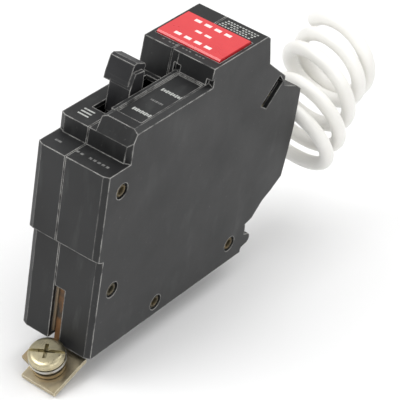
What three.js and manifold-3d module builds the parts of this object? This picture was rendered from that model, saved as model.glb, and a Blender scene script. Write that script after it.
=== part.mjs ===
// One-pole ground-fault circuit breaker, bolt-on line tab, white neutral pigtail.
// Millimetres, +Z up. The body is drawn with x across its width, y from the line
// end (0) to the load end, and z from its mounting back (0) to its front.
// The whole assembly is then set so that the origin is the centre of its footprint.
import * as THREE from 'three';
import { mergeVertices } from 'three/addons/utils/BufferGeometryUtils.js';
import Module from 'manifold-3d';

const wasm = await Module();
wasm.setup();

// ---- driving dimensions -------------------------------------------------
const W = 25.4;               // full width of the one-inch body
const L = 96.4;               // line-end face to load-end face
const H_LEDGE = 65.5;         // shoulder that sits behind the panel cover
const H_DECK = 71;            // deck around the handle
const H_BLOCK = 75.8;         // deck of the ground-fault half
const H_BOX = 81.5;           // top of the test-button box
const WALL = 1.5;             // moulded wall
const SEAM_X = -2.5;          // joint between the two mouldings
const GAP = 0.3;              // clearance between separate pieces
const STEP_Z = 36;            // where the line end steps out
const STEP_OUT = 2.2;         // how far it steps out
const BLOCK_X = 0;            // left wall of the raised ground-fault half
const BOX_Y0 = 44.3;          // front of the test-button box
const BOX_Y1 = 72;            // rear of its top
const BEVEL_X = 1.8;          // bevel along the line-end corners, across
const BEVEL_Y = 0.9;          // and along

const SLOT_X0 = -8.2;         // handle slot
const SLOT_X1 = -0.2;
const SLOT_Y0 = 16.2;
const SLOT_Y1 = 41.5;
const PIVOT_Y = 29.5;         // handle pivot
const PIVOT_Z = 56;
const PIVOT_R = 1.5;
const PADDLE_W = 8.6;

const TAB_W = 12.4;           // bolt-on tab
const TAB_X = 3.7;
const TAB_T = 1.5;
const TAB_REACH = 11.2;
const TAB_DROP = 2.84;         // its root under the mounting back
const TAB_TILT = 20;          // degrees below the mounting plane
const STRAP_T = 1.4;          // upright leg of the line strap
const SCREW_X = 2.3;          // line screw, across and from the tab's root
const SCREW_S = 6.8;
const SLOT_FRONT_X = 1.5;     // right edge of the slot in the line end
const SLOT_FRONT_Z = 19.5;    // and its top
const SCREW_R = 2.4;          // line screw shank
const HEAD_R = 5.6;

const RIVET_R = 1.2;
const RIVETS = [[7.2, 22.3], [5.4, 57.9], [31.5, 4.6], [69.3, 7]];

const BUTTON_X = 22.6;        // test button
const BUTTON_Y = 16;
const BUTTON_YC = 56.3;
const BUTTON_TOP = 82.3;
const BUTTON_DEEP = 6;
const BUTTON_TRAVEL = 1.8;

const FOOT_Y = L - 19.8;      // load-end edge of the mounting back
const LUG_Y0 = L - 17.9;      // load terminals
const LUG_Y1 = LUG_Y0 + 14;
const LUG_Z0 = 37;
const LUG_Z1 = 48;
const LUG_W = 7.2;
const LUG_SIDE = 3.9;         // middle of a lug from the left wall
const LUG_X = -W / 2 + WALL + LUG_SIDE;
const NEUTRAL_X = 5;
const WIRE_R = 3.1;           // wire bore in a lug
const WIRE_Z = (LUG_Z0 + LUG_Z1) / 2 - 0.6;
const TERMINAL_Y = LUG_Y1 - 3.2;                  // terminal screws

const TOROID_Y = 66;          // current sensing cores
const TOROID_Z = 28;
const TOROID_R = 9;
const TOROID_HOLE = 4.6;
const BOARD_T = 1.3;          // circuit board
const BOARD_X = W / 2 - WALL - GAP - BOARD_T;

const PIGTAIL_R = 2.35;       // white neutral lead
const EXIT_X = 2;
const LEAD_Z = 22;
const LEAD_Y0 = L - 10.4;     // where it starts inside the case
const CORE_R = 0.95;          // conductors inside the case
const TURN_R = 12.8;          // centre of the wire in a turn of the coil
const COIL_X = 7.6;           // centre of its first turn
const COIL_Y = L + 9.6;
const COIL_Z = 27.1;
const COIL_LEAN = -6.3;       // from the first turn to the last: across,
const COIL_RUN = 29.7;        // along the case
const COIL_RISE = 16.8;         // and up

const HALF = W / 2;
const IN_X0 = -HALF + WALL;   // inner faces of the mouldings
const IN_X1 = HALF - WALL;
const SHIELD_R = H_DECK - WALL - GAP - PIVOT_Z;   // shield that closes the handle slot
const SHIELD_IN = SHIELD_R - 1.3;
const PINS = [[27, 42], [40, 46]];                // contact arm and cradle pivots
const BACK_Y = 11.2;          // return run of the phase conductor, from the cores
const BACK_Z = 5.5;
const PIN_R = 1.05;           // mechanism pins
const PIN_X1 = SEAM_X - 1.2;
const SEG = 20;               // sides of a round piece
const DEG = Math.PI / 180;

// ---- solids ---------------------------------------------------------------
function solid(geometry) {
  const g = geometry.index ? geometry.clone() : geometry;
  g.deleteAttribute('normal');
  g.deleteAttribute('uv');
  const m = mergeVertices(g, 1e-4);
  return new wasm.Manifold(new wasm.Mesh({
    numProp: 3,
    vertProperties: new Float32Array(m.attributes.position.array),
    triVerts: new Uint32Array(m.index.array),
  }));
}

function geometryOf(manifold) {
  const mesh = manifold.getMesh();
  const g = new THREE.BufferGeometry();
  g.setAttribute('position', new THREE.BufferAttribute(new Float32Array(mesh.vertProperties), 3));
  g.setIndex(new THREE.BufferAttribute(new Uint32Array(mesh.triVerts), 1));
  return g;
}

function box(x0, x1, y0, y1, z0, z1) {
  const g = new THREE.BoxGeometry(x1 - x0, y1 - y0, z1 - z0);
  g.translate((x0 + x1) / 2, (y0 + y1) / 2, (z0 + z1) / 2);
  return solid(g);
}

// A side outline, given as [y, z] points, carried across from x0 to x1.
function prism(points, x0, x1) {
  const shape = new THREE.Shape(points.map(([y, z]) => new THREE.Vector2(y, z)));
  const g = new THREE.ExtrudeGeometry(shape, { depth: x1 - x0, bevelEnabled: false });
  const basis = new THREE.Matrix4().makeBasis(
    new THREE.Vector3(0, 1, 0), new THREE.Vector3(0, 0, 1), new THREE.Vector3(1, 0, 0));
  g.applyMatrix4(basis);
  g.translate(x0, 0, 0);
  return solid(g);
}

// A plan outline, given as [x, y] points, carried up from z0 to z1.
function slab(points, z0, z1) {
  const shape = new THREE.Shape(points.map(([x, y]) => new THREE.Vector2(x, y)));
  const g = new THREE.ExtrudeGeometry(shape, { depth: z1 - z0, bevelEnabled: false });
  g.translate(0, 0, z0);
  return solid(g);
}

// A round bar along an axis, centred on [a, b], the other two coordinates in order.
function bar(axis, r, from, to, a, b, sides = SEG) {
  const g = new THREE.CylinderGeometry(r, r, to - from, sides);
  const mid = (from + to) / 2;
  if (axis === 'x') {
    g.rotateZ(-Math.PI / 2);
    g.translate(mid, a, b);
  } else if (axis === 'y') {
    g.translate(a, mid, b);
  } else {
    g.rotateX(Math.PI / 2);
    g.translate(a, b, mid);
  }
  return solid(g);
}

// A round sleeve along an axis.
function sleeve(axis, outer, inner, from, to, a, b, sides = SEG) {
  const hole = bar(axis, inner, from - 1, to + 1, a, b, sides);
  return bar(axis, outer, from, to, a, b, sides).subtract(hole);
}

// A turned piece about z from [radius, height] points that start and end on the axis.
function turned(points, sides = SEG) {
  const g = new THREE.LatheGeometry(points.map(([r, z]) => new THREE.Vector2(r, z)), sides);
  g.rotateX(Math.PI / 2);
  return solid(g);
}

// A round tube that follows points given as [x, y, z].
function tube(points, r, steps, sides = 8) {
  const path = new THREE.CatmullRomCurve3(points.map((p) => new THREE.Vector3(...p)));
  const ring = [];
  for (let i = 0; i < sides; i += 1) {
    const a = (i / sides) * Math.PI * 2;
    ring.push(new THREE.Vector2(r * Math.cos(a), r * Math.sin(a)));
  }
  const g = new THREE.ExtrudeGeometry(new THREE.Shape(ring), { steps, extrudePath: path });
  return solid(g);
}

// Points on an arc about [y, z], angles in degrees from +y.
function arc(y, z, r, from, to, n) {
  const points = [];
  for (let i = 0; i <= n; i += 1) {
    const a = (from + ((to - from) * i) / n) * DEG;
    points.push([y + r * Math.cos(a), z + r * Math.sin(a)]);
  }
  return points;
}

// ---- the assembly ---------------------------------------------------------
const breaker = new THREE.Group();

const LOOKS = {
  phenolic: ['#232426', 0.55, 0],
  button: ['#c8202a', 0.35, 0],
  plated: ['#c9b67a', 0.35, 1],
  copper: ['#b87a55', 0.4, 1],
  brass: ['#b9974f', 0.35, 1],
  steel: ['#9a9c9e', 0.4, 1],
  spring: ['#b8babd', 0.3, 1],
  silver: ['#d5d3cd', 0.3, 1],
  fibre: ['#7d6a58', 0.85, 0],
  board: ['#2d6b3f', 0.6, 0],
  ferrite: ['#2c5f86', 0.6, 0],
  epoxy: ['#1b1b1d', 0.5, 0],
  winding: ['#a8522c', 0.35, 0.6],
  nylon: ['#d9d6cc', 0.6, 0],
  insulation: ['#f0efe9', 0.45, 0],
  varistor: ['#2a4fa0', 0.5, 0],
  resistor: ['#c9b48b', 0.6, 0],
};

function add(name, manifold, look) {
  const [color, roughness, metalness] = LOOKS[look];
  const mesh = new THREE.Mesh(
    geometryOf(manifold), new THREE.MeshStandardMaterial({ color, roughness, metalness }));
  mesh.name = name;
  breaker.add(mesh);
  return mesh;
}

// ---- mouldings ------------------------------------------------------------
// Side outline of the case, inset by t, with the given deck height.
function caseOutline(t, deck) {
  const front = STEP_OUT - t;
  const rear = deck > H_DECK ? 9.9 : 7.3;
  return [
    [t, t], [t, STEP_Z - 0.6 + t], [-front, STEP_Z + 0.6 + t], [-front, H_LEDGE - t],
    [7 + t, H_LEDGE - t], [7.3 + t, H_DECK - t], [rear + t, deck - t],
    [BOX_Y0 - 1 + t, deck - t], [BOX_Y0 + t, H_BOX - t],
    [BOX_Y1 - 0.8 - t / 2, H_BOX - t], [BOX_Y1 + 0.6 - t, H_BOX - 1.1 - t / 2],
    [75 - t, 70.6 - t / 2], [L - 11 - t, 62.1 - t / 2], [L - 10.5 - t, 58.4 - t],
    [L - 2.5 - t, 54.8 - t], [L - t, 52.9 - t], [L + 0.1 - t, 39],
    [L - 0.8 - t, 30.2], [L - 2.2 - t, 21.1 + t / 2], [L - 7.2 - t, 17.9 + t / 2],
    [L - 11.4 - t, 15.9 + t / 2], [L - 16 - t, 11.5 + t], [FOOT_Y - t, 10.6 + t],
    [FOOT_Y - t, t],
  ].filter(([y, z], i, all) => i === 0 || y !== all[i - 1][0] || z !== all[i - 1][1]);
}

// The hook that catches the panel's mounting rail.
function railHook(x0, x1) {
  const toe = [[-2.6, 0], [-0.6, 0], [0.4, 1.8], ...arc(2.4, 4, 2, -60, 60, 4), [0.8, 6.6],
    [0.8, 8.4], [0.6, 10.5], [-2.6, 10.5]].map(([y, z]) => [FOOT_Y + y, z]);
  return prism(toe, x0, x1);
}

// Bevels along the two upright line-end corners on one side of the case.
function cornerBevel(side) {
  const edge = side * HALF;
  const inner = edge - side * BEVEL_X;
  const cut = (y, z0, z1) => slab(
    side > 0
      ? [[inner, y], [inner, y - 1], [edge + 1, y - 1], [edge + 1, y + BEVEL_Y], [edge, y + BEVEL_Y]]
      : [[edge, y + BEVEL_Y], [edge - 1, y + BEVEL_Y], [edge - 1, y - 1], [inner, y - 1], [inner, y]],
    z0, z1);
  return cut(0, -1, STEP_Z - 0.6).add(cut(-STEP_OUT, STEP_Z, H_LEDGE + 1)).add(cut(7.2, H_LEDGE, H_BLOCK + 1));
}

// The bevel that runs along the long edges of the raised half's deck.
function deckBevel() {
  const y0 = 5;
  const y1 = BOX_Y0 + 0.6;
  const right = [[HALF - BEVEL_X, H_BLOCK], [HALF - BEVEL_X, H_BLOCK + 2], [HALF + 1, H_BLOCK + 2],
    [HALF + 1, H_BLOCK - BEVEL_Y], [HALF, H_BLOCK - BEVEL_Y]];
  const left = [[BLOCK_X, H_BLOCK - 0.8], [BLOCK_X - 1, H_BLOCK - 0.8], [BLOCK_X - 1, H_BLOCK + 2],
    [BLOCK_X + 1.5, H_BLOCK + 2], [BLOCK_X + 1.5, H_BLOCK]];
  const along = (points) => {
    const shape = new THREE.Shape(points.map(([x, z]) => new THREE.Vector2(x, z)));
    const g = new THREE.ExtrudeGeometry(shape, { depth: y1 - y0, bevelEnabled: false });
    g.rotateX(Math.PI / 2);
    g.translate(0, y1, 0);
    return solid(g);
  };
  return along(right).add(along([...left].reverse()));
}

function rivetCuts(side) {
  let cuts = null;
  for (const [y, z] of RIVETS) {
    const hole = bar('x', RIVET_R + GAP, -HALF - 1, HALF + 1, y, z);
    const recess = side > 0
      ? bar('x', 2.6, HALF - 1.2, HALF + 1, y, z)
      : bar('x', 2.6, -HALF - 1, -HALF + 1.2, y, z);
    const cut = hole.add(recess);
    cuts = cuts ? cuts.add(cut) : cut;
  }
  return cuts;
}

function rivetBosses(x0, x1) {
  let bosses = null;
  for (const [y, z] of RIVETS) {
    const boss = bar('x', 2.5, x0, x1, y, z);
    bosses = bosses ? bosses.add(boss) : boss;
  }
  return bosses;
}

function buttonWindow() {
  const c = GAP;
  return box(-BUTTON_X / 2 - c, BUTTON_X / 2 + c, BUTTON_YC - BUTTON_Y / 2 - c,
    BUTTON_YC + BUTTON_Y / 2 + c, BUTTON_TOP - BUTTON_DEEP - BUTTON_TRAVEL - c, H_BOX + 1);
}

// Wire entry, screwdriver access and lug pocket of one load terminal.
function terminalCuts(x) {
  const wire = bar('y', WIRE_R + 0.6, LUG_Y1 - 1, L + 2, x, WIRE_Z);
  const driver = bar('z', 2.9, LUG_Z1, H_BOX, x, TERMINAL_Y);
  return wire.add(driver);
}

// Round exit for the white lead in the load end.
function leadCut() {
  return bar('y', PIGTAIL_R + 0.4, L - 9, L + 2, EXIT_X, LEAD_Z, 16);
}

function leftShell() {
  const x0 = -HALF;
  const x1 = SEAM_X - GAP / 2;
  let s = prism(caseOutline(0, H_DECK), x0, x1).add(railHook(x0, x1));
  s = s.subtract(prism(caseOutline(WALL, H_DECK), IN_X0, x1 + 1));
  s = s.add(rivetBosses(x0, x1));
  s = s.subtract(cornerBevel(-1)).subtract(rivetCuts(-1));
  s = s.subtract(box(SLOT_X0, x1 + 1, SLOT_Y0, SLOT_Y1, H_DECK - WALL - 1, H_DECK + 1));
  s = s.subtract(buttonWindow()).subtract(terminalCuts(LUG_X));
  s = s.subtract(bar('x', PIVOT_R + 0.2, IN_X0 - 0.8, 0, PIVOT_Y, PIVOT_Z));
  for (const [y, z] of PINS) {
    s = s.subtract(bar('x', PIN_R + 0.2, IN_X0 - 0.8, 0, y, z));
  }
  return s;
}

// Slot in the line end and the floor where the line strap passes and shows.
function strapCuts() {
  return box(SEAM_X - 1, SLOT_FRONT_X, -3, TAB_ROOT_Y + STRAP_T + GAP, -1, SLOT_FRONT_Z);
}

function rightShell() {
  const x0 = SEAM_X + GAP / 2;
  const x1 = HALF;
  let s = prism(caseOutline(0, H_DECK), x0, x1).add(railHook(x0, x1));
  s = s.add(prism(caseOutline(0, H_BLOCK), BLOCK_X, x1));
  s = s.subtract(prism(caseOutline(WALL, H_DECK), x0 - 1, IN_X1));
  s = s.add(rivetBosses(x0, x1));
  s = s.subtract(cornerBevel(1)).subtract(deckBevel()).subtract(rivetCuts(1));
  s = s.subtract(box(x0 - 1, SLOT_X1, SLOT_Y0, SLOT_Y1, H_DECK - WALL - 1, H_DECK + 1));
  s = s.subtract(buttonWindow()).subtract(terminalCuts(NEUTRAL_X)).subtract(strapCuts());
  s = s.subtract(leadCut());
  s = s.subtract(sideWindow()).subtract(labelRecess());
  s = s.add(springSeat());
  return s;
}

// Shallow panel for markings on the raised deck.
function labelRecess() {
  return box(BLOCK_X + 1.7, HALF - 2.4, 13.8, 42.6, H_BLOCK - 0.5, H_BLOCK + 1);
}

// Opening in the broad side beside the neutral terminal.
function sideWindow() {
  const points = [[73.9, 56], [77.4, 53.6], [84.8, 60.4], [82.2, 63.6]];
  return prism(points, IN_X1 - 1, HALF + 1);
}

// Shelf that carries the test button's return spring, with a hole for the stem.
function springSeat() {
  const y = BUTTON_YC;
  const plate = box(0.5, IN_X1 + 0.4, y - 6, y + 6, 63.5, 65);
  return plate.subtract(bar('z', 2.4, 60, 70, NEUTRAL_X, y));
}

// Barrier between the switching half and the ground-fault half.
function midBarrier() {
  const x0 = SEAM_X - 0.9;
  const x1 = SEAM_X + 0.5;
  const inset = WALL + GAP;
  let s = prism(caseOutline(inset, H_DECK), x0, x1);
  for (const [y, z] of RIVETS) {
    s = s.subtract(bar('x', 2.5 + GAP, x0 - 1, x1 + 1, y, z));
  }
  s = s.subtract(box(x0 - 1, x1 + 1, 0, 14, 24.4, 28));               // line strap
  s = s.subtract(box(x0 - 1, x1 + 1, 42.5, 49, 23.6, 28.4));          // trip link
  s = s.subtract(bar('x', 4.2, x0 - 1, x1 + 1, TOROID_Y, TOROID_Z));  // conductors
  s = s.subtract(bar('x', 2, x0 - 1, x1 + 1, TOROID_Y + BACK_Y, TOROID_Z + BACK_Z));
  s = s.subtract(box(x0 - 1, x1 + 1, SLOT_Y0, 80, 66, 90));           // test button
  const sweep = sleeve('x', SHIELD_R + 0.6, SHIELD_IN - 1, x0 - 1, x1 + 1, PIVOT_Y, PIVOT_Z, 36);
  s = s.subtract(sweep.intersect(box(x0 - 1, x1 + 1, 0, 60, PIVOT_Z - 2, H_DECK)));
  s = s.subtract(bar('x', PIVOT_R + 0.2, x0 - 1, x1 + 1, PIVOT_Y, PIVOT_Z));
  return s;
}

// ---- switching mechanism ----------------------------------------------------
const [[ARM_Y, ARM_Z], [CRADLE_Y, CRADLE_Z]] = PINS;
const ARM_X0 = -8.6;
const ARM_X1 = -6;

function handle() {
  const x0 = SLOT_X0 + GAP;
  const x1 = SLOT_X1 - GAP;
  const hubEnd = SEAM_X - 0.9 - GAP;
  const paddleMid = x0 + PADDLE_W / 2 - 2.3;
  const leg = prism([[26.5, PIVOT_Z - 2], [22.6, PIVOT_Z + SHIELD_IN], [28.6, PIVOT_Z + SHIELD_IN],
    [32, PIVOT_Z - 2]], x0, hubEnd);
  const stem = prism([[21.7, H_DECK - 3], [22.4, H_DECK + 6.3], [24.3, H_DECK + 11], [28.4, H_DECK + 10.5],
    [28.4, H_DECK + 6], [28, H_DECK - 3]], x0, x1);
  const paddle = prism([[22.5, H_DECK + 6.2], [22.9, H_DECK + 8.2], [24.7, H_DECK + 13.2],
    [26, H_DECK + 13.5], [29.9, H_DECK + 11.9], [30.2, H_DECK + 11], [28.5, H_DECK + 6.6]],
  paddleMid - PADDLE_W / 2, paddleMid + PADDLE_W / 2);
  const shield = prism([...arc(PIVOT_Y, PIVOT_Z, SHIELD_R, 172, 36, 18),
    ...arc(PIVOT_Y, PIVOT_Z, SHIELD_IN, 36, 172, 18)], x0, x1);
  const hub = bar('x', 3.6, x0, hubEnd, PIVOT_Y, PIVOT_Z);
  const hole = bar('x', PIVOT_R + 0.2, x0 - 1, x1 + 1, PIVOT_Y, PIVOT_Z);
  return stem.add(leg).add(paddle).add(shield).add(hub).subtract(hole);
}

const CONTACT_Y = 10;
const FIXED_TOP = 28.5;
const CONTACT_GAP = GAP;

function contactArm() {
  const z = FIXED_TOP + CONTACT_GAP + 1.5;
  const blade = prism([[CONTACT_Y - 2.2, z], [CONTACT_Y + 2.4, z], [ARM_Y - 3, ARM_Z - 4.6],
    [ARM_Y + 2, ARM_Z - 1.5], [ARM_Y - 1, ARM_Z + 2.2], [CONTACT_Y + 2, z + 2.6],
    [CONTACT_Y - 2.2, z + 2]], ARM_X0, ARM_X1);
  const hub = bar('x', 2.8, ARM_X0, ARM_X1, ARM_Y, ARM_Z);
  return blade.add(hub).subtract(bar('x', 1.25, ARM_X0 - 1, ARM_X1 + 1, ARM_Y, ARM_Z));
}

function cradle() {
  const lever = prism([[CRADLE_Y - 2, CRADLE_Z - 2.4], [CRADLE_Y + 9, CRADLE_Z - 7.5], [55.4, 37.2], [55.8, 39.4],
    [CRADLE_Y + 10, CRADLE_Z - 2.6], [CRADLE_Y + 1, CRADLE_Z + 3]], ARM_X0, ARM_X1);
  const hub = bar('x', 3, ARM_X0, ARM_X1, CRADLE_Y, CRADLE_Z);
  return lever.add(hub).subtract(bar('x', 1.25, ARM_X0 - 1, ARM_X1 + 1, CRADLE_Y, CRADLE_Z));
}

function pivotPin(r, y, z) {
  return bar('x', r, IN_X0 - 0.6, PIN_X1, y, z);
}

function arcPlate(z) {
  const outer = box(-10.2, -4.5, 3, 11, z, z + 0.9);
  return outer.subtract(box(-9.6, -5, 4.1, 12, z - 1, z + 2));
}

const ARC_PLATES = 5;
const ARC_Z0 = 31;
const ARC_PITCH = 3.2;

function arcChute() {
  const z1 = ARC_Z0 + ARC_PLATES * ARC_PITCH;
  const outer = box(-11, -3.8, 1.8, 10.6, ARC_Z0 - 1, z1);
  return outer.subtract(box(-10.5, -4.2, 2.7, 12, ARC_Z0 - 2, z1 + 1));
}

// ---- line terminal ----------------------------------------------------------
const TILT = TAB_TILT * DEG;
const TAB_ROOT_Y = WALL + GAP;
const TAB_ROOT_Z = -TAB_DROP;

// A point on the tab's upper face, s from its root, h above it.
function onTab(s, h) {
  return [TAB_ROOT_Y - s * Math.cos(TILT) - h * Math.sin(TILT),
    TAB_ROOT_Z - s * Math.sin(TILT) + h * Math.cos(TILT)];
}

const TAB_RUN = (TAB_REACH + TAB_ROOT_Y) / Math.cos(TILT);

// Moves a piece turned about z so that it stands on the tab at height h.
function seatOnTab(manifold, h) {
  const [y, z] = onTab(SCREW_S, h);
  const g = geometryOf(manifold);
  g.rotateX(TILT);
  g.translate(SCREW_X, y, z);
  return solid(g);
}

function lineStrap() {
  const x0 = TAB_X - TAB_W / 2;
  const x1 = TAB_X + TAB_W / 2;
  const legX0 = SEAM_X + 0.9;
  const legX1 = SLOT_FRONT_X - GAP;
  const legY1 = TAB_ROOT_Y + STRAP_T;
  const plate = prism([onTab(0, 0), onTab(TAB_RUN, 0), onTab(TAB_RUN, -TAB_T), onTab(0.3, -TAB_T),
    [legY1, -TAB_DROP - TAB_T], [legY1, -TAB_DROP]], x0, x1);
  const leg = box(legX0, legX1, TAB_ROOT_Y, legY1, -TAB_DROP - TAB_T / 2, 27);
  const carrier = box(-9.4, legX1, TAB_ROOT_Y, 13, 25.5, 27);
  const hole = seatOnTab(turned([[0, -4], [SCREW_R + GAP, -4], [SCREW_R + GAP, 4], [0, 4]]), 0);
  return plate.add(leg).add(carrier).subtract(hole);
}

const FLAT_T = 1.2;
const LOCK_T = 1.6;
const WASHER_T = 0.8;
const HEAD_T = 2.6;

function lineScrew() {
  const base = FLAT_T + LOCK_T + WASHER_T + 4 * GAP;
  const head = turned([[0, -base - 3.4], [SCREW_R - 0.4, -base - 3.4], [SCREW_R, -base - 2.8], [SCREW_R, 0],
    [HEAD_R - 0.2, 0], [HEAD_R, 0.4], [HEAD_R, HEAD_T - 1.1], [HEAD_R - 0.6, HEAD_T - 0.4],
    [HEAD_R - 2, HEAD_T], [0, HEAD_T]], 32);
  const slot = box(-HEAD_R - 1, HEAD_R + 1, -0.6, 0.6, HEAD_T - 1.5, HEAD_T + 1);
  const cross = box(-0.6, 0.6, -2.8, 2.8, HEAD_T - 1.9, HEAD_T + 1);
  const piece = head.subtract(slot).subtract(cross);
  return seatOnTab(piece, base);
}

function washer(outer, t, h, sides) {
  return seatOnTab(sleeve('z', outer, SCREW_R + GAP, 0, t, 0, 0, sides), h);
}

// Saddle clamp under the head: a round cup with one long side, where the wire goes.
function pressurePlate() {
  const round = bar('z', HEAD_R - 0.5, 0, FLAT_T, 0, 0, 32);
  const wing = slab([[-8, -2.6], [0, -4.6], [0, 4.6], [-8, 2.6]], 0, FLAT_T);
  return seatOnTab(round.add(wing).subtract(bar('z', SCREW_R + GAP, -1, 3, 0, 0)), GAP);
}

// ---- load end ---------------------------------------------------------------
function lug(x) {
  const body = box(x - LUG_W / 2, x + LUG_W / 2, LUG_Y0, LUG_Y1, LUG_Z0, LUG_Z1);
  const wire = bar('y', WIRE_R, LUG_Y0 + 3, LUG_Y1 + 1, x, WIRE_Z);
  const screw = bar('z', 2.1, WIRE_Z, LUG_Z1 + 1, x, TERMINAL_Y);
  return body.subtract(wire).subtract(screw);
}

function terminalScrew(x) {
  const z0 = WIRE_Z + WIRE_R - 0.4;
  const g = turned([[0, z0], [1.5, z0], [1.9, z0 + 0.5], [1.9, LUG_Z1 + 2.6], [0, LUG_Z1 + 2.6]]);
  const piece = g.subtract(box(-3, 3, -0.4, 0.4, LUG_Z1 + 1.4, LUG_Z1 + 4));
  return piece.translate([x, TERMINAL_Y, 0]);
}

// ---- thermal and magnetic trip ----------------------------------------------
function magnetYoke() {
  const outer = box(-10.4, -4.2, 59, 61.6, 20, 33);
  return outer.subtract(box(-9.6, -5, 58, 60.4, 19, 34));
}

// ---- ground-fault half --------------------------------------------------------
function toroid(x0, x1) {
  return sleeve('x', TOROID_R, TOROID_HOLE, x0, x1, TOROID_Y, TOROID_Z, 28);
}

// Live conductor: from the bimetal through both cores, round their rim and back.
function phaseConductor() {
  const y = TOROID_Y - 1.6;
  const z = TOROID_Z + 1.6;
  const yb = TOROID_Y + BACK_Y;
  const zb = TOROID_Z + BACK_Z;
  return tube([[-5.5, y, z], [0, y, z], [5, y, z], [7.6, y + 0.8, z + 0.8], [8, y + 3, z + 2.6],
    [8, yb - 2.2, zb + 0.4], [6, yb, zb], [0, yb, zb], [-5.5, yb, zb]], CORE_R, 26);
}

// Neutral conductor: from its lug through both cores to the back of the lead.
function neutralConductor() {
  const y = TOROID_Y + 1.4;
  const z = TOROID_Z - 1.8;
  return tube([[NEUTRAL_X, LUG_Y0 + 3, LUG_Z0 - GAP], [NEUTRAL_X, LUG_Y0 + 2.5, 28], [6, 77, 18], [8, 71, 16.5],
    [8.2, y, z - 5], [7, y, z], [3, y, z], [0, y, z], [-0.72, y + 1, z - 2.4], [-0.72, 71, 18],
    [0, 77, 15.4], [EXIT_X, LEAD_Y0 - 1.5, LEAD_Z - 1]], CORE_R, 34);
}

const SOL_Z = 26;             // solenoid axis
const SOL_X = 4.6;

function solenoidFrame() {
  const outer = box(-0.4, 9.2, 18, 37, SOL_Z - 5.4, SOL_Z + 5.4);
  const inside = box(-2, 11, 19.2, 35.8, SOL_Z - 4.2, SOL_Z + 7);
  const hole = bar('y', 2, 30, 40, SOL_X, SOL_Z);
  return outer.subtract(inside).subtract(hole);
}

function solenoidPlunger() {
  const rod = bar('y', 1.5, 24, 44.2, SOL_X, SOL_Z);
  const link = box(-8.4, SOL_X + 1.4, 43.6, 45.6, SOL_Z - 1.3, SOL_Z + 1.3);
  const finger = box(-8.4, -6.2, 45, 54.8, SOL_Z - 1.3, SOL_Z + 1.3);
  return rod.add(link).add(finger);
}

// ---- test button ----------------------------------------------------------------
function testButton() {
  const y0 = BUTTON_YC - BUTTON_Y / 2;
  const y1 = BUTTON_YC + BUTTON_Y / 2;
  const z0 = BUTTON_TOP - BUTTON_DEEP;
  const hx = BUTTON_X / 2;
  const cap = prism([[y0, z0], [y1, z0], [y1, BUTTON_TOP - 0.5], [y1 - 0.5, BUTTON_TOP],
    [y0 + 0.5, BUTTON_TOP], [y0, BUTTON_TOP - 0.5]], -hx, hx);
  const under = box(-hx + 1.4, hx - 1.4, y0 + 1.4, y1 - 1.4, z0 - 1, BUTTON_TOP - 1.6);
  const stem = bar('z', 1.9, 61.6, BUTTON_TOP - 1, NEUTRAL_X, BUTTON_YC);
  return cap.subtract(under).add(stem);
}

// ---- build ------------------------------------------------------------------------
add('left_shell', leftShell(), 'phenolic');
add('right_shell', rightShell(), 'phenolic');
add('mid_barrier', midBarrier(), 'fibre');
add('handle', handle(), 'phenolic');
add('handle_pivot_pin', pivotPin(PIVOT_R, PIVOT_Y, PIVOT_Z), 'steel');
add('contact_arm', contactArm(), 'copper');
add('contact_arm_pin', pivotPin(PIN_R, ARM_Y, ARM_Z), 'steel');
add('cradle', cradle(), 'steel');
add('cradle_pin', pivotPin(PIN_R, CRADLE_Y, CRADLE_Z), 'steel');
add('moving_contact', bar('z', 1.8, FIXED_TOP + CONTACT_GAP, FIXED_TOP + CONTACT_GAP + 1.3,
  (ARM_X0 + ARM_X1) / 2, CONTACT_Y), 'silver');
add('fixed_contact', bar('z', 2.1, 27 + GAP, FIXED_TOP, (ARM_X0 + ARM_X1) / 2, CONTACT_Y), 'silver');
add('main_spring', tube([[-9.9, 19.5, 36.4], [-9.9, 28, 39.2], [-9.9, 37, 42]], 0.9, 6), 'spring');
for (let i = 0; i < ARC_PLATES; i += 1) {
  add(`arc_plate_${i + 1}`, arcPlate(ARC_Z0 + ARC_PITCH * i), 'steel');
}
add('arc_chute', arcChute(), 'fibre');

add('line_strap', lineStrap(), 'plated');
add('pressure_plate', pressurePlate(), 'plated');
add('lock_washer', washer(HEAD_R - 0.7, LOCK_T, FLAT_T + 2 * GAP, 28), 'plated');
add('flat_washer', washer(HEAD_R + 0.1, WASHER_T, FLAT_T + LOCK_T + 3 * GAP, 32), 'plated');
add('line_screw', lineScrew(), 'plated');

add('bimetal', box(-8.8, -5.8, 62, 63.1, 12, 36), 'brass');
add('magnet_yoke', magnetYoke(), 'steel');
add('armature', box(-9.7, -4.9, 57.1, 58.1, 20, 40.6), 'steel');
add('calibration_screw', bar('y', 1.5, 63.5, 70, -7.3, 16), 'brass');
add('load_strap', box(-8.8, -5.8, 70, LUG_Y0 - GAP, 33, 34.4)
  .add(box(-8.8, -5.8, LUG_Y0 - 2, LUG_Y0 - GAP, 34, 44)), 'copper');
add('flexible_braid', tube([[-7.3, 23.6, 34.8], [-7.3, 27, 30], [-7.3, 36, 21], [-7.3, 48, 12],
  [-7.3, 58, 9.4], [-7.3, 62.4, 10.4]], 1, 20), 'copper');
add('load_lug', lug(LUG_X), 'plated');
add('load_screw', terminalScrew(LUG_X), 'steel');
add('neutral_lug', lug(NEUTRAL_X), 'plated');
add('neutral_screw', terminalScrew(NEUTRAL_X), 'steel');

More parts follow.
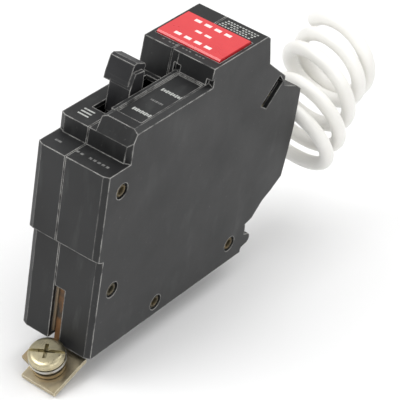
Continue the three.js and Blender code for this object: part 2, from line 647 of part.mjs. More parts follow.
add('circuit_board', box(BOARD_X, BOARD_X + BOARD_T, 11, 76, 14.5, 60), 'board');
add('sensing_toroid', toroid(0.4, 3.6), 'ferrite');
add('grounding_toroid', toroid(3.9, 6.8), 'ferrite');
add('phase_conductor', phaseConductor(), 'copper');
add('neutral_conductor', neutralConductor(), 'insulation');
add('solenoid_frame', solenoidFrame(), 'steel');
add('solenoid_coil', sleeve('y', 3.9, 1.8, 19.5, 35.5, SOL_X, SOL_Z), 'winding');
add('solenoid_plunger', solenoidPlunger(), 'steel');
add('plunger_spring', sleeve('y', 2.5, 1.8, 37.3, 43.3, SOL_X, SOL_Z, 12), 'spring');
add('control_chip', box(BOARD_X - 2, BOARD_X - 0.2, 16, 24, 42, 49), 'epoxy');
add('thyristor', box(BOARD_X - 3.4, BOARD_X - 0.2, 30, 34.6, 42, 47), 'epoxy');
add('capacitor', bar('x', 3, BOARD_X - 6.4, BOARD_X - 0.2, 41, 45), 'epoxy');
add('resistor', bar('y', 1.2, 30, 38, BOARD_X - 1.5, 54), 'resistor');
add('varistor', bar('x', 4.4, BOARD_X - 3.6, BOARD_X - 0.2, 50.8, 50), 'varistor');

add('test_button', testButton(), 'button');
add('test_button_spring', sleeve('z', 2.9, 2.1, 65.3, 80.4, NEUTRAL_X, BUTTON_YC, 12), 'spring');
add('test_leaf', box(2.4, BOARD_X - GAP, 46, 60, 58.9, 59.4), 'brass');

RIVETS.forEach(([y, z], i) => {
  const shaft = bar('x', RIVET_R, -HALF + 0.4, HALF - 0.4, y, z, 16);
  const heads = bar('x', 2.1, -HALF + 0.3, -HALF + 1, y, z).add(bar('x', 2.1, HALF - 1, HALF - 0.3, y, z));
  add(`case_rivet_${i + 1}`, shaft.add(heads), 'brass');
});

// ---- pigtail ------------------------------------------------------------------------
// The coiled lead is one closed drum over all its turns, skewed as the coil leans.
function coil() {
  const across = new THREE.Vector3(0.854, 0.126, -0.499).normalize();
  const along = new THREE.Vector3(0.07, 0.93, 0.36).normalize();
  const other = new THREE.Vector3().crossVectors(along, across).normalize();
  const first = new THREE.Vector3(COIL_X, COIL_Y, COIL_Z).addScaledVector(along, -PIGTAIL_R);
  const last = new THREE.Vector3(COIL_X + COIL_LEAN, COIL_Y + COIL_RUN, COIL_Z + COIL_RISE);
  last.addScaledVector(along, PIGTAIL_R);
  const lean = new THREE.Vector3().subVectors(last, first);
  const g = new THREE.CylinderGeometry(TURN_R + PIGTAIL_R, TURN_R + PIGTAIL_R, 1, 32);
  g.rotateX(Math.PI / 2);
  g.translate(0, 0, 0.5);
  g.applyMatrix4(new THREE.Matrix4().makeBasis(across, other, lean));
  g.translate(first.x, first.y, first.z);
  return solid(g);
}

const LEAD_END = COIL_Y - 5;

// ---- footprint, taken before the free lead is added --------------------------------------
const bounds = new THREE.Box3().setFromObject(breaker);
const middle = bounds.getCenter(new THREE.Vector3());
breaker.position.set(-middle.x, -middle.y, -bounds.min.z);

add('pigtail_coil', coil(), 'insulation');
add('pigtail_lead', bar('y', PIGTAIL_R, LEAD_Y0, LEAD_END, EXIT_X, LEAD_Z, 12), 'insulation');

export default breaker;
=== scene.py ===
"""Visual model of a one-pole ground-fault breaker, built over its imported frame."""
import math
import bmesh
import bpy
from mathutils import Matrix, Quaternion, Vector


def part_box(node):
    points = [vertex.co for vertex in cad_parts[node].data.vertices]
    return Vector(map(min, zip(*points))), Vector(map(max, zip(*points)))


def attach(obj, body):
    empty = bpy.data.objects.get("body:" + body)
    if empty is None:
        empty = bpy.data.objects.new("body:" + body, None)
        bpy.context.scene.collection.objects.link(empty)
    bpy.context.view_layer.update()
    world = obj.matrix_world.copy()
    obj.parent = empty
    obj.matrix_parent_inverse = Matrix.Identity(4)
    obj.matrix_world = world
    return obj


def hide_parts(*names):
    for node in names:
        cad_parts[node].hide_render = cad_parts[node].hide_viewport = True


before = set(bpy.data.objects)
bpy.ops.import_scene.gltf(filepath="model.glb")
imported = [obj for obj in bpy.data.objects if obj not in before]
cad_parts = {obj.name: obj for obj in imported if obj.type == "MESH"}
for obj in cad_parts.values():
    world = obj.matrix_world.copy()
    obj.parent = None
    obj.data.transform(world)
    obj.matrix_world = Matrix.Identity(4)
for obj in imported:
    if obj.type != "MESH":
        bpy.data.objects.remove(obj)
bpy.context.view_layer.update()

MM = 0.001
LEDGE = 65.5         # heights over the mounting back
DECK = 71.0
BLOCK = 75.8
BOX_TOP = 81.5
BUTTON_TOP = 82.3
WIRE = 4.7           # diameter of the white lead

shell_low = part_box("right_shell")[0]
BACK_Z = shell_low[2]
END_Y = shell_low[1] + 2.2 * MM


def P(x, y, z):
    """A point given in millimetres from the line end's back edge, in the row frame."""
    return Vector((x * MM, END_Y + y * MM, BACK_Z + z * MM))


# ---- camera ---------------------------------------------------------------
AZ, EL, ROLL = 0.555, 0.6024, 0.1536
back = Vector((math.sin(AZ) * math.cos(EL), -math.cos(AZ) * math.cos(EL), math.sin(EL)))
level = Vector((math.cos(AZ), math.sin(AZ), 0))
rise = back.cross(level)
right = level * math.cos(ROLL) + rise * math.sin(ROLL)
up = back.cross(right)

camera_data = bpy.data.cameras.new("camera")
camera_data.lens = 198.92
camera_data.sensor_width = 36
camera_data.shift_x = 0.069
camera_data.shift_y = -0.0113
camera_data.clip_start = 0.01
camera = bpy.data.objects.new("camera", camera_data)
bpy.context.scene.collection.objects.link(camera)
eye = right * 34.536 + up * 42.724 + back * 648.03
camera.matrix_world = Matrix((
    (right.x, up.x, back.x, 0), (right.y, up.y, back.y, 0),
    (right.z, up.z, back.z, 0), (0, 0, 0, 1)))
camera.location = P(*eye)
bpy.context.scene.camera = camera


# ---- small tools -------------------------------------------------------------
def link(obj, body="case", material=None):
    if obj.name not in bpy.context.scene.collection.objects:
        bpy.context.scene.collection.objects.link(obj)
    if material:
        obj.data.materials.clear()
        obj.data.materials.append(material)
    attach(obj, body)
    return obj


def from_bm(name, bm, smooth=True):
    bmesh.ops.remove_doubles(bm, verts=bm.verts, dist=1e-7)
    bmesh.ops.recalc_face_normals(bm, faces=bm.faces)
    mesh = bpy.data.meshes.new(name)
    bm.to_mesh(mesh)
    bm.free()
    for p in mesh.polygons:
        p.use_smooth = smooth
    return bpy.data.objects.new(name, mesh)


def bevel(obj, width, segments=3, angle=35):
    m = obj.modifiers.new("edge", "BEVEL")
    m.width = width * MM
    m.segments = segments
    m.limit_method = "ANGLE"
    m.angle_limit = math.radians(angle)
    m.harden_normals = False
    m.use_clamp_overlap = True
    return m


def smooth_by_angle(obj, angle=35):
    """Smooth faces with sharp edges where the surface turns by more than the angle."""
    bm = bmesh.new()
    bm.from_mesh(obj.data)
    for e in bm.edges:
        e.smooth = len(e.link_faces) == 2 and e.calc_face_angle(0) < math.radians(angle)
    for f in bm.faces:
        f.smooth = True
    bm.to_mesh(obj.data)
    bm.free()


def lathe(name, profile, origin, axis, sides=64, smooth=True):
    """Turns (radius, height) points about an axis through origin; closes on the axis."""
    bm = bmesh.new()
    turn = Vector((0, 0, 1)).rotation_difference(Vector(axis).normalized())
    rings = []
    for r, h in profile:
        if r < 1e-6:
            rings.append([bm.verts.new(origin + turn @ Vector((0, 0, h * MM)))])
            continue
        ring = []
        for i in range(sides):
            a = 2 * math.pi * i / sides
            ring.append(bm.verts.new(
                origin + turn @ Vector((r * math.cos(a) * MM, r * math.sin(a) * MM, h * MM))))
        rings.append(ring)
    for lower, upper in zip(rings, rings[1:]):
        n = max(len(lower), len(upper))
        if n == 1:
            continue
        for i in range(n):
            j = (i + 1) % n
            quad = [lower[i % len(lower)], lower[j % len(lower)],
                    upper[j % len(upper)], upper[i % len(upper)]]
            unique = list(dict.fromkeys(quad))
            if len(unique) > 2:
                bm.faces.new(unique)
    return from_bm(name, bm, smooth)


def rounded_plate(name, x0, x1, y0, y1, z0, z1, r=0.4, steps=5):
    """A plate with rounded corners in plan and softened upper edges."""
    bm = bmesh.new()
    r = min(r, (x1 - x0) / 2.01, (y1 - y0) / 2.01)
    outline = []
    corners = ((x1 - r, y1 - r, 0), (x0 + r, y1 - r, 90), (x0 + r, y0 + r, 180), (x1 - r, y0 + r, 270))
    for cx, cy, a0 in corners:
        for i in range(steps + 1):
            a = math.radians(a0 + 90 * i / steps)
            outline.append((cx + r * math.cos(a), cy + r * math.sin(a), cx, cy))
    soft = min(0.12, (z1 - z0) / 2)
    levels = [(z0, 0.0), (z1 - soft, 0.0), (z1 - soft * 0.3, soft * 0.3), (z1, soft)]
    rings = []
    for z, inset in levels:
        k = max(0.0, 1 - inset / max(r, 0.01))
        rings.append([bm.verts.new(P(cx + (x - cx) * k, cy + (y - cy) * k, z)) for x, y, cx, cy in outline])
    for lower, upper in zip(rings, rings[1:]):
        for i in range(len(lower)):
            j = (i + 1) % len(lower)
            bm.faces.new((lower[i], lower[j], upper[j], upper[i]))
    bm.faces.new(list(reversed(rings[0])))
    bm.faces.new(rings[-1])
    return from_bm(name, bm, False)


def strip(name, points, width, lift, normal=(0, 0, 1)):
    """A flat printed line of one width along points given in millimetres."""
    bm = bmesh.new()
    n = Vector(normal)
    pts = [Vector(p) for p in points]
    rows = []
    for i, p in enumerate(pts):
        d = (pts[min(i + 1, len(pts) - 1)] - pts[max(i - 1, 0)]).normalized()
        side = n.cross(d).normalized() * (width / 2)
        rows.append([p + side, p - side])
    tops = [[bm.verts.new(P(*(q + n * lift))) for q in row] for row in rows]
    lows = [[bm.verts.new(P(*(q - n * 0.05))) for q in row] for row in rows]
    for i in range(len(rows) - 1):
        bm.faces.new((tops[i][0], tops[i][1], tops[i + 1][1], tops[i + 1][0]))
        bm.faces.new((lows[i][1], lows[i][0], lows[i + 1][0], lows[i + 1][1]))
        for k in (0, 1):
            bm.faces.new((tops[i][k], lows[i][k], lows[i + 1][k], tops[i + 1][k]))
    for row in (0, -1):
        bm.faces.new((tops[row][0], tops[row][1], lows[row][1], lows[row][0]))
    return from_bm(name, bm, False)


# ---- materials --------------------------------------------------------------------
def nodes_of(name):
    m = bpy.data.materials.new(name)
    m.use_nodes = True
    t = m.node_tree
    return m, t, t.nodes["Principled BSDF"]


def mixed(t, a, b, fac):
    mix = t.nodes.new("ShaderNodeMix")
    mix.data_type = "RGBA"
    for socket, value in ((mix.inputs[6], a), (mix.inputs[7], b)):
        if isinstance(value, (tuple, list)):
            socket.default_value = (*value, 1)
        else:
            t.links.new(value, socket)
    t.links.new(fac, mix.inputs[0])
    return mix.outputs[2]


def ranged(t, value, a, b, lo, hi):
    n = t.nodes.new("ShaderNodeMapRange")
    n.inputs["From Min"].default_value = a
    n.inputs["From Max"].default_value = b
    n.inputs["To Min"].default_value = lo
    n.inputs["To Max"].default_value = hi
    t.links.new(value, n.inputs["Value"])
    return n.outputs[0]


def place(t, scale=(1, 1, 1), turn=(0, 0, 0)):
    c = t.nodes.new("ShaderNodeTexCoord")
    m = t.nodes.new("ShaderNodeMapping")
    m.inputs["Scale"].default_value = scale
    m.inputs["Rotation"].default_value = turn
    t.links.new(c.outputs["Object"], m.inputs["Vector"])
    return m.outputs[0]


def noise(t, scale, detail=4, rough=0.5, vector=None):
    n = t.nodes.new("ShaderNodeTexNoise")
    n.inputs["Scale"].default_value = scale
    n.inputs["Detail"].default_value = detail
    n.inputs["Roughness"].default_value = rough
    t.links.new(vector if vector else place(t), n.inputs["Vector"])
    return n.outputs["Fac"]


def math_node(t, kind, a, b=None):
    n = t.nodes.new("ShaderNodeMath")
    n.operation = kind
    n.use_clamp = True
    t.links.new(a, n.inputs[0])
    if b is not None:
        if isinstance(b, (int, float)):
            n.inputs[1].default_value = b
        else:
            t.links.new(b, n.inputs[1])
    return n.outputs[0]


def edge_mask(t, radius):
    """1 on edges that a fillet of this radius would round, 0 on flats."""
    b = t.nodes.new("ShaderNodeBevel")
    b.samples = 6
    b.inputs["Radius"].default_value = radius * MM
    g = t.nodes.new("ShaderNodeNewGeometry")
    d = t.nodes.new("ShaderNodeVectorMath")
    d.operation = "DOT_PRODUCT"
    t.links.new(b.outputs[0], d.inputs[0])
    t.links.new(g.outputs["Normal"], d.inputs[1])
    return ranged(t, d.outputs["Value"], 1.0, 0.93, 0.0, 1.0)


def bump(t, bsdf, height, strength, distance):
    b = t.nodes.new("ShaderNodeBump")
    b.inputs["Strength"].default_value = strength
    b.inputs["Distance"].default_value = distance * MM
    t.links.new(height, b.inputs["Height"])
    t.links.new(b.outputs[0], bsdf.inputs["Normal"])


def phenolic(name, dark, light, rough):
    """Moulded black plastic: mottled, faintly streaked, with a pale painted highlight along its edges."""
    m, t, b = nodes_of(name)
    cloud = noise(t, 60, 5, 0.6)
    grain = noise(t, 2600, 3, 0.6)
    streak = noise(t, 240, 4, 0.55, place(t, (1, 0.5, 0.22), (0.06, 0.1, 0.05)))
    large = noise(t, 26, 3, 0.5)
    speck = noise(t, 900, 3, 0.7)
    base = mixed(t, dark, light, ranged(t, math_node(t, "ADD", math_node(t, "MULTIPLY", cloud, 0.5),
                                                     math_node(t, "MULTIPLY", large, 0.5)), 0.36, 0.66, 0, 1))
    dust = math_node(t, "MULTIPLY", ranged(t, streak, 0.56, 0.78, 0, 0.3),
                     ranged(t, large, 0.4, 0.62, 0.15, 1))
    base = mixed(t, base, (0.10, 0.105, 0.10), dust)
    base = mixed(t, base, (0.13, 0.13, 0.125), ranged(t, speck, 0.66, 0.8, 0, 0.5))
    # painted highlight: pale grey laid on the edges, broken up by noise
    edge_highlight = math_node(t, "MULTIPLY", edge_mask(t, 0.5),
                     ranged(t, noise(t, 300, 4, 0.6), 0.34, 0.56, 0.12, 0.95))
    base = mixed(t, base, (0.36, 0.355, 0.34), edge_highlight)
    t.links.new(base, b.inputs["Base Color"])
    t.links.new(ranged(t, cloud, 0.3, 0.7, rough - 0.07, rough + 0.1), b.inputs["Roughness"])
    b.inputs["IOR"].default_value = 1.36
    bump(t, b, math_node(t, "ADD", grain, math_node(t, "MULTIPLY", streak, 0.5)), 0.22, 0.05)
    return m


def metal(name, colour, tint, rough, aniso=0.0, scale=400):
    """Plated or plain metal with cloudy colour, fine brushing, small pits and a painted highlight on its
    edges.
    """
    m, t, b = nodes_of(name)
    cloud = noise(t, scale * 0.5, 4, 0.6)
    brush = noise(t, scale * 4, 3, 0.6, place(t, (1, 0.08, 1), (0.3, 0.4, 0)))
    base = mixed(t, colour, tint, ranged(t, cloud, 0.35, 0.68, 0, 1))
    # painted highlight: a lighter copy of the metal's colour laid on its edges
    edge_highlight = math_node(t, "MULTIPLY", edge_mask(t, 0.3), 0.5)
    bright = (min(1, colour[0] * 1.25 + 0.1), min(1, colour[1] * 1.25 + 0.1), colour[2] + 0.14)
    base = mixed(t, base, bright, edge_highlight)
    t.links.new(base, b.inputs["Base Color"])
    b.inputs["Metallic"].default_value = 1.0
    b.inputs["Anisotropic"].default_value = aniso
    t.links.new(ranged(t, brush, 0.3, 0.7, rough - 0.08, rough + 0.14), b.inputs["Roughness"])
    bump(t, b, math_node(t, "ADD", brush, cloud), 0.25, 0.03)
    return m


def plastic(name, colour, tint, rough, coat=0.0, scale=500, bumpy=0.12):
    m, t, b = nodes_of(name)
    cloud = noise(t, scale * 0.2, 4, 0.6)
    grain = noise(t, scale * 4, 3, 0.6)
    t.links.new(mixed(t, colour, tint, ranged(t, cloud, 0.35, 0.7, 0, 1)), b.inputs["Base Color"])
    t.links.new(ranged(t, cloud, 0.3, 0.7, rough - 0.04, rough + 0.08), b.inputs["Roughness"])
    b.inputs["Coat Weight"].default_value = coat
    b.inputs["Coat Roughness"].default_value = 0.12
    bump(t, b, grain, bumpy, 0.04)
    return m


def print_ink(name, colour, under, cover=0.42):
    """Stamped ink that has gone thin in places."""
    m, t, b = nodes_of(name)
    patch = noise(t, 1500, 4, 0.65)
    worn = ranged(t, patch, cover + 0.08, cover + 0.34, 0, 0.8)
    t.links.new(mixed(t, colour, under, worn), b.inputs["Base Color"])
    b.inputs["Roughness"].default_value = 0.6
    bump(t, b, patch, 0.15, 0.03)
    return m


BLACK = phenolic("black_phenolic", (0.0075, 0.0075, 0.0078), (0.021, 0.0215, 0.022), 0.42)
HANDLE = phenolic("handle_phenolic", (0.012, 0.012, 0.013), (0.026, 0.026, 0.028), 0.38)
RED = plastic("red_gloss", (0.56, 0.018, 0.026), (0.66, 0.03, 0.036), 0.27, 0.5, 300, 0.05)
PLATED = metal("yellow_zinc", (0.56, 0.50, 0.33), (0.36, 0.33, 0.23), 0.32)
OLIVE = metal("dull_plate", (0.34, 0.28, 0.15), (0.42, 0.33, 0.22), 0.45)
STEEL = metal("plain_steel", (0.46, 0.46, 0.47), (0.58, 0.57, 0.55), 0.34)
COPPER = metal("bare_copper", (0.72, 0.36, 0.22), (0.58, 0.27, 0.16), 0.36)
BRASS = metal("plain_brass", (0.60, 0.44, 0.20), (0.48, 0.33, 0.15), 0.4)
SILVER = metal("silver_contact", (0.80, 0.78, 0.74), (0.7, 0.68, 0.66), 0.28)
FIBRE = plastic("pressed_fibre", (0.27, 0.20, 0.13), (0.33, 0.26, 0.18), 0.8, 0, 700, 0.5)
BOARD = plastic("solder_mask", (0.03, 0.16, 0.06), (0.04, 0.2, 0.08), 0.4, 0.2)
CORE = plastic("core_coating", (0.05, 0.15, 0.28), (0.06, 0.18, 0.33), 0.5)
EPOXY = plastic("moulded_epoxy", (0.018, 0.018, 0.02), (0.03, 0.03, 0.032), 0.55)
TAN = plastic("resistor_body", (0.5, 0.4, 0.26), (0.56, 0.46, 0.3), 0.5)
BLUE = plastic("varistor_dip", (0.03, 0.1, 0.35), (0.04, 0.13, 0.4), 0.35, 0.3)
WHITE_WIRE = plastic("white_insulation", (0.80, 0.79, 0.75), (0.86, 0.85, 0.82), 0.38, 0.15, 260, 0.06)
INK = print_ink("white_ink", (0.42, 0.43, 0.41), (0.05, 0.05, 0.05), 0.4)
FAINT = print_ink("faint_ink", (0.17, 0.17, 0.165), (0.03, 0.03, 0.03), 0.33)
BUTTON_INK = print_ink("button_ink", (0.86, 0.68, 0.66), (0.7, 0.16, 0.17), 0.45)
WINDING = metal("enamelled_copper", (0.42, 0.16, 0.08), (0.5, 0.2, 0.1), 0.3)

def strap_metal(name):
    """Zinc plate with a painted highlight on its edges outside the case, bare copper where the strap goes up
    inside it.
    """
    m, t, b = nodes_of(name)
    geometry = t.nodes.new("ShaderNodeNewGeometry")
    split = t.nodes.new("ShaderNodeSeparateXYZ")
    t.links.new(geometry.outputs["Position"], split.inputs[0])
    cloud = noise(t, 210, 5, 0.6)
    brush = noise(t, 1500, 3, 0.6, place(t, (1, 0.1, 1)))
    plate = mixed(t, (0.60, 0.52, 0.36), (0.42, 0.36, 0.25), ranged(t, cloud, 0.35, 0.66, 0, 1))
    # painted highlight: near-white laid on the plate's edges
    plate = mixed(t, plate, (0.86, 0.80, 0.62), edge_mask(t, 0.35))
    bare = mixed(t, (0.20, 0.105, 0.05), (0.07, 0.06, 0.05), ranged(t, cloud, 0.42, 0.6, 0, 1))
    level = BACK_Z - 1.0 * MM
    part = ranged(t, split.outputs[2], level - 0.6 * MM, level + 0.6 * MM, 0, 1)
    t.links.new(mixed(t, plate, bare, part), b.inputs["Base Color"])
    b.inputs["Metallic"].default_value = 1.0
    t.links.new(ranged(t, brush, 0.3, 0.7, 0.28, 0.48), b.inputs["Roughness"])
    bump(t, b, math_node(t, "ADD", brush, cloud), 0.25, 0.03)
    return m


STRAP = strap_metal("strap_metal")
EYELET = metal("dull_brass", (0.17, 0.125, 0.06), (0.055, 0.06, 0.05), 0.5)
# painted shade: near-black for the inside of the eyelets' bores
BORE_SHADE = plastic("eyelet_bore", (0.006, 0.005, 0.005), (0.012, 0.01, 0.009), 0.8)

# ---- the white lead -----------------------------------------------------------------
# Where the coil's turns are centred, at equal steps of turning.
CENTRES = [(7.6, 106.0, 27.1), (7.1, 112.1, 30.8), (6.3, 118.3, 34.9), (3.4, 125.2, 41.4), (4.0, 130.5, 43.2),
           (2.6, 135.1, 45.8)]
TURN_R = 12.79
FIRST = -90.0
LAST = 1620.0
TILT_A = Vector((0.206, -0.223, -0.076))
TILT_B = Vector((-0.126, 0.012, 0.04))
E1 = Vector((0.854, 0.126, -0.499)).normalized()
E2 = Vector((0.511, -0.341, 0.788))
E2 = (E2 - E1 * E1.dot(E2)).normalized()


def smooth_value(values, s):
    """Catmull-Rom value along a list, s from 0 to its length less one."""
    i = max(0, min(int(math.floor(s)), len(values) - 2))
    u = s - i
    p = [values[max(0, min(len(values) - 1, k))] for k in (i - 1, i, i + 1, i + 2)]
    out = []
    for a, b, c, d in zip(*p):
        out.append(0.5 * (2 * b + (c - a) * u + (2 * a - 5 * b + 4 * c - d) * u * u
                          + (3 * b - a - 3 * c + d) * u ** 3))
    return out


def coil_point(deg):
    k = (deg - FIRST) / (LAST - FIRST)
    centre = Vector(smooth_value(CENTRES, k * (len(CENTRES) - 1)))
    tilt = TILT_A.lerp(TILT_B, k)
    q = Quaternion(tilt.normalized(), tilt.length)
    a = math.radians(deg)
    return centre + q @ ((E1 * math.cos(a) + E2 * math.sin(a)) * TURN_R)


def bezier(p0, p1, p2, p3, n):
    out = []
    for i in range(n):
        u = i / n
        v = 1 - u
        out.append(p0 * v ** 3 + p1 * 3 * v * v * u + p2 * 3 * v * u * u + p3 * u ** 3)
    return out


EXIT = Vector((2, 96.2, 22))
start = coil_point(FIRST)
ahead = (coil_point(FIRST + 4) - start).normalized()
route = [Vector((2, 88, 22)), Vector((2, 92, 22))]
route += bezier(EXIT, EXIT + Vector((0, 13, 0)), start - ahead * 10, start, 14)
deg = FIRST
while deg <= LAST:
    route.append(coil_point(deg))
    deg += 12
wire_end = route[-1]
wire_dir = (route[-1] - route[-2]).normalized()


def wire_curve(name, points, diameter, sides=6):
    curve = bpy.data.curves.new(name, "CURVE")
    curve.dimensions = "3D"
    curve.bevel_depth = diameter / 2 * MM
    curve.bevel_resolution = sides
    curve.use_fill_caps = True
    spline = curve.splines.new("NURBS")
    spline.points.add(len(points) - 1)
    for p, q in zip(spline.points, points):
        p.co = (*P(*q), 1)
    spline.order_u = 4
    spline.use_endpoint_u = True
    spline.use_cyclic_u = False
    spline.resolution_u = 3
    return bpy.data.objects.new(name, curve)


lead = wire_curve("neutral_lead", route, WIRE)
link(lead, "case", WHITE_WIRE)
strand = []
for i in range(10):
    strand.append(wire_end + wire_dir * (-2 + i * 0.28))
bare = wire_curve("bare_end", strand, 2.6)
link(bare, "case", COPPER)
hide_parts("pigtail_coil", "pigtail_lead")

# ---- carried-over solids get their edges and finishes ---------------------------------
FINISH = {
    "left_shell": (BLACK, 0.28), "right_shell": (BLACK, 0.28), "handle": (HANDLE, 0.3),
    "mid_barrier": (FIBRE, 0.1), "arc_chute": (FIBRE, 0.1), "test_button": (RED, 0.35),
    "line_strap": (STRAP, 0.25),
    "pressure_plate": (OLIVE, 0.25), "load_screw": (PLATED, 0.15), "neutral_screw": (PLATED, 0.15),
    "load_lug": (PLATED, 0.3), "neutral_lug": (PLATED, 0.3),
    "circuit_board": (BOARD, 0.1), "solenoid_coil": (WINDING, 0.2), "pigtail_lead": (WHITE_WIRE, 0),
    "neutral_conductor": (WHITE_WIRE, 0), "sensing_toroid": (CORE, 0.4), "grounding_toroid": (CORE, 0.4),
    "control_chip": (EPOXY, 0.1), "thyristor": (EPOXY, 0.1), "capacitor": (EPOXY, 0.3),
    "resistor": (TAN, 0.3), "varistor": (BLUE, 0.6), "contact_arm": (COPPER, 0.15),
    "load_strap": (COPPER, 0.15),
    "flexible_braid": (COPPER, 0), "phase_conductor": (COPPER, 0), "moving_contact": (SILVER, 0.15),
    "fixed_contact": (SILVER, 0.15), "bimetal": (BRASS, 0.1), "calibration_screw": (BRASS, 0.1),
    "test_leaf": (BRASS, 0.05),
}
for name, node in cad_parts.items():
    if name.startswith("pigtail"):
        continue
    material, width = FINISH.get(name, (BRASS if name.startswith("case_rivet") else STEEL, 0.12))
    if len(node.material_slots):
        for s in node.material_slots:
            s.material = material
    else:
        node.data.materials.append(material)
    if width:
        bevel(node, width, 3 if width > 0.2 else 2)

# ---- the line screw and its washers ----------------------------------------------------
TILT = math.radians(20)       # slope of the line tab
TAB_ROOT = Vector((2.3, 1.8, -2.84))
SCREW_REACH = 6.8             # from the tab's root to the screw, down the slope
LOCK_LOW = 1.95               # height of the lock washer over the tab
HEAD_LOW = 4.8                # and of the screw's head
HEAD_TALL = 2.6
HEAD_R = 5.55
TAB_N = Vector((0, -math.sin(TILT), math.cos(TILT)))
TAB_D = Vector((0, -math.cos(TILT), -math.sin(TILT)))
SEAT = TAB_ROOT + TAB_D * SCREW_REACH


def on_screw(h):
    q = SEAT + TAB_N * h
    return P(q.x, q.y, q.z)


def cross_cuts(obj, centre, axis, reach, wide, deep, turn, blade):
    """Cuts the cross and the slot into a screw head."""
    side = Vector((1, 0, 0))
    other = axis.cross(side)
    for k in range(2):
        a = turn + k * math.pi / 2
        d = side * math.cos(a) + other * math.sin(a)
        e = axis.cross(d)
        for long, half, depth in ((reach, wide, deep),) + (((blade, 0.55, 1.1),) if k == 0 else ()):
            bm = bmesh.new()
            bmesh.ops.create_cube(bm, size=1)
            sides = Matrix((d * long * 2 * MM, e * half * 2 * MM, axis * depth * 2 * MM))
            m = sides.transposed().to_4x4()
            m.translation = centre
            bm.transform(m)
            tool = from_bm("cut", bm, False)
            bpy.context.scene.collection.objects.link(tool)
            cut = obj.modifiers.new("cut", "BOOLEAN")
            cut.object = tool
            cut.operation = "DIFFERENCE"
            cut.solver = "EXACT"
            bpy.context.view_layer.update()
            graph = bpy.context.evaluated_depsgraph_get()
            made = bpy.data.meshes.new_from_object(obj.evaluated_get(graph))
            obj.modifiers.clear()
            old = obj.data
            obj.data = made
            bpy.data.meshes.remove(old)
            bpy.data.objects.remove(tool)
    return obj


profile = [(0, -3.4), (1.9, -3.4), (2.25, -3.0)]
for i in range(22):
    profile += [(2.0, -2.75 + i * 0.33), (2.25, -2.58 + i * 0.33)]
profile += [(2.2, HEAD_LOW), (HEAD_R - 0.25, HEAD_LOW), (HEAD_R, HEAD_LOW + 0.25), (HEAD_R, HEAD_LOW + 1.3)]
for i in range(1, 9):
    a = i / 8 * math.pi / 2
    profile.append((HEAD_R - 1.7 * (1 - math.cos(a)), HEAD_LOW + 1.3 + 1.25 * math.sin(a)))
profile.append((0, HEAD_LOW + HEAD_TALL))
screw = lathe("line_screw_shape", profile, on_screw(0), TAB_N, 72)
bpy.context.scene.collection.objects.link(screw)
cross_cuts(screw, on_screw(HEAD_LOW + HEAD_TALL), TAB_N, 2.6, 0.6, 1.7, 0.5, 5.6)
smooth_by_angle(screw, 40)
link(screw, "line_screw_body", PLATED)
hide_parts("line_screw")

split = bmesh.new()
turns = 64
ring_rows = []
for i in range(turns + 1):
    a = math.radians(8 + 344 * i / turns)
    rise_h = 0.32 * (i / turns - 0.5)
    row = []
    for rr, hh in ((2.6, 0.1), (4.75, 0.1), (4.87, 0.25), (4.87, 1.15), (4.75, 1.3), (2.6, 1.3)):
        q = SEAT + TAB_N * (LOCK_LOW + hh + rise_h) + Vector((1, 0, 0)) * (rr * math.cos(a)) \
            + TAB_N.cross(Vector((1, 0, 0))) * (rr * math.sin(a))
        row.append(split.verts.new(P(*q)))
    ring_rows.append(row)
for a, b in zip(ring_rows, ring_rows[1:]):
    for k in range(6):
        split.faces.new((a[k], a[(k + 1) % 6], b[(k + 1) % 6], b[k]))
split.faces.new(list(reversed(ring_rows[0])))
split.faces.new(ring_rows[-1])
lock = from_bm("lock_washer_shape", split, False)
smooth_by_angle(lock, 30)
link(lock, "case", STEEL)
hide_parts("lock_washer")

for name in ("case_rivet_1", "case_rivet_2", "case_rivet_3", "case_rivet_4"):
    low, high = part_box(name)
    c = Vector(((low[0] + high[0]) / 2, (low[1] + high[1]) / 2, (low[2] + high[2]) / 2))
    x0 = (low[0] - c.x) / MM
    x1 = (high[0] - c.x) / MM
    rr = (high[1] - low[1]) / 2 / MM
    flange = [(0, 3), (1.15, 3), (1.15, 0.5), (1.35, 0.08), (1.7, 0), (rr - 0.15, 0.12), (rr, 0.4),
              (rr, 0.55), (1.35, 0.6)]
    wall = [(r, x0 + h) for r, h in flange] + [(r, x1 - h) for r, h in reversed(flange)]
    eyelet = lathe(name + "_shape", wall, c, (1, 0, 0), 40)
    smooth_by_angle(eyelet, 50)
    link(eyelet, "case", EYELET)
    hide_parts(name)
    # painted shade: a near-black plug set about 1 mm down in each eyelet's bore
    bore_shade_profile = [(0, x1 - 3.0), (1.12, x1 - 3.0), (1.12, x1 - 1.0), (0, x1 - 0.9)]
    bore_shade = lathe(name + "_bore", bore_shade_profile, c, (1, 0, 0), 24)
    link(bore_shade, "case", BORE_SHADE)

# ---- markings on the decks ---------------------------------------------------------------
RECESS = BLOCK - 0.5
marks = [(18.9, 3.5, 9.8, 1.5, INK), (26.2, 4.2, 8.6, 1.0, FAINT), (32.8, 3.2, 10.4, 1.5, INK)]
for i, (y, x0, x1, w, ink) in enumerate(marks):
    cells = 9 if ink is INK else 7
    step = (x1 - x0) / cells
    for k in range(cells):
        a = x0 + k * step + 0.08
        tall = w * (1.0, 0.72, 1.0, 0.8)[(k * 3 + i) % 4]
        line = [(a, y, RECESS), (a + step * 0.72, y, RECESS)]
        piece = strip("deck_mark_%d_%d" % (i, k), line, tall, 0.04)
        link(piece, "case", ink)

lip = rounded_plate("label_lip", 0.15, 1.5, 13.0, 43.2, BLOCK - 0.1, BLOCK + 0.35, 0.4)
link(lip, "case", BLACK)

# ---- three plain bars in place of the round mark --------------------------------------------
BAR_FROM, BAR_TO, BAR_PITCH = -9.4, -5.6, 1.5
for k in range(3):
    y = 11.0 + k * BAR_PITCH
    link(strip("deck_bar_%d" % k, [(BAR_FROM, y, DECK), (BAR_TO, y, DECK)], 0.6, 0.04), "case", INK)

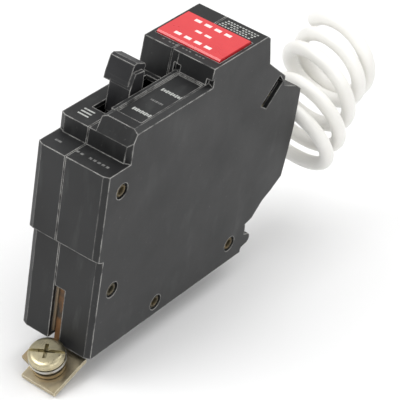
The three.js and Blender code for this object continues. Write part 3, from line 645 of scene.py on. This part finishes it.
# ---- dashes in place of the button's lettering --------------------------------------------
# For each row: its place along the button, half its length and its line width.
BUTTON_ROWS = [(51.2, 7.2, 1.38), (56.3, 3.4, 1.08), (61.3, 7.2, 1.38)]
for k, (y, half, wide) in enumerate(BUTTON_ROWS):
    cells = max(2, round(half * 2 / 3.4))
    step = half * 2 / cells
    for i in range(cells):
        a = -half + i * step + 0.2
        b = a + step * 0.62
        link(strip("button_line_%d_%d" % (k, i), [(a, y, BUTTON_TOP), (b, y, BUTTON_TOP)], wide, 0.04),
             "button_body", BUTTON_INK)


def dashes(name, start, step, count, width, ink, skip):
    """A row of short printed dashes, some left out."""
    for i in range(count):
        if (i * 3 + 1) % skip == 0:
            continue
        a = Vector(start) + Vector(step) * i
        link(strip("%s_%d" % (name, i), [a, a + Vector(step) * 0.62], width, 0.03), "case", ink)


for k in range(4):
    dashes("box_row_%d" % k, (-1.6 + k * 0.3, 65.9 + k * 1.15, BOX_TOP), (1.05, 0, 0), 11, 0.55, INK, 6 + k)
dashes("box_front_row", (-8, 46.6, BOX_TOP), (1.2, 0, 0), 14, 0.5, FAINT, 4)
dashes("ledge_row", (-2.0, 2.2, LEDGE), (1.5, 0, 0), 8, 0.9, FAINT, 7)
link(strip("ledge_bar", [(-9.8, 2.4, LEDGE), (-7.6, 2.4, LEDGE)], 0.8, 0.03), "case", FAINT)

# ---- room ---------------------------------------------------------------------------------------
floor_mat, t, b = nodes_of("pale_floor")
t.links.new(mixed(t, (0.86, 0.86, 0.86), (0.9, 0.9, 0.9), ranged(t, noise(t, 6, 3), 0.3, 0.7, 0, 1)),
            b.inputs["Base Color"])
b.inputs["Roughness"].default_value = 0.7
bm = bmesh.new()
bmesh.ops.create_grid(bm, x_segments=2, y_segments=2, size=4)
floor = from_bm("floor", bm, False)
floor.location = (0, 0, -0.0005)
bpy.context.scene.collection.objects.link(floor)
floor.data.materials.append(floor_mat)


def light(name, at, size, power, target=(0, 45, 40)):
    data = bpy.data.lights.new(name, "AREA")
    data.shape = "RECTANGLE"
    data.size = size[0]
    data.size_y = size[1]
    data.energy = power
    obj = bpy.data.objects.new(name, data)
    bpy.context.scene.collection.objects.link(obj)
    obj.location = P(*at)
    obj.rotation_euler = (obj.location - P(*target)).to_track_quat("Z", "Y").to_euler()


light("key", (-260, -380, 560), (0.5, 0.4), 2.6)
light("fill", (520, -200, 300), (0.5, 0.5), 1.0)
light("top", (60, 260, 620), (0.5, 0.5), 2.0)
world = bpy.data.worlds.new("soft")
world.use_nodes = True
world.node_tree.nodes["Background"].inputs[0].default_value = (1, 1, 1, 1)
world.node_tree.nodes["Background"].inputs[1].default_value = 0.62
bpy.context.scene.world = world
bpy.context.scene.view_settings.view_transform = "Standard"
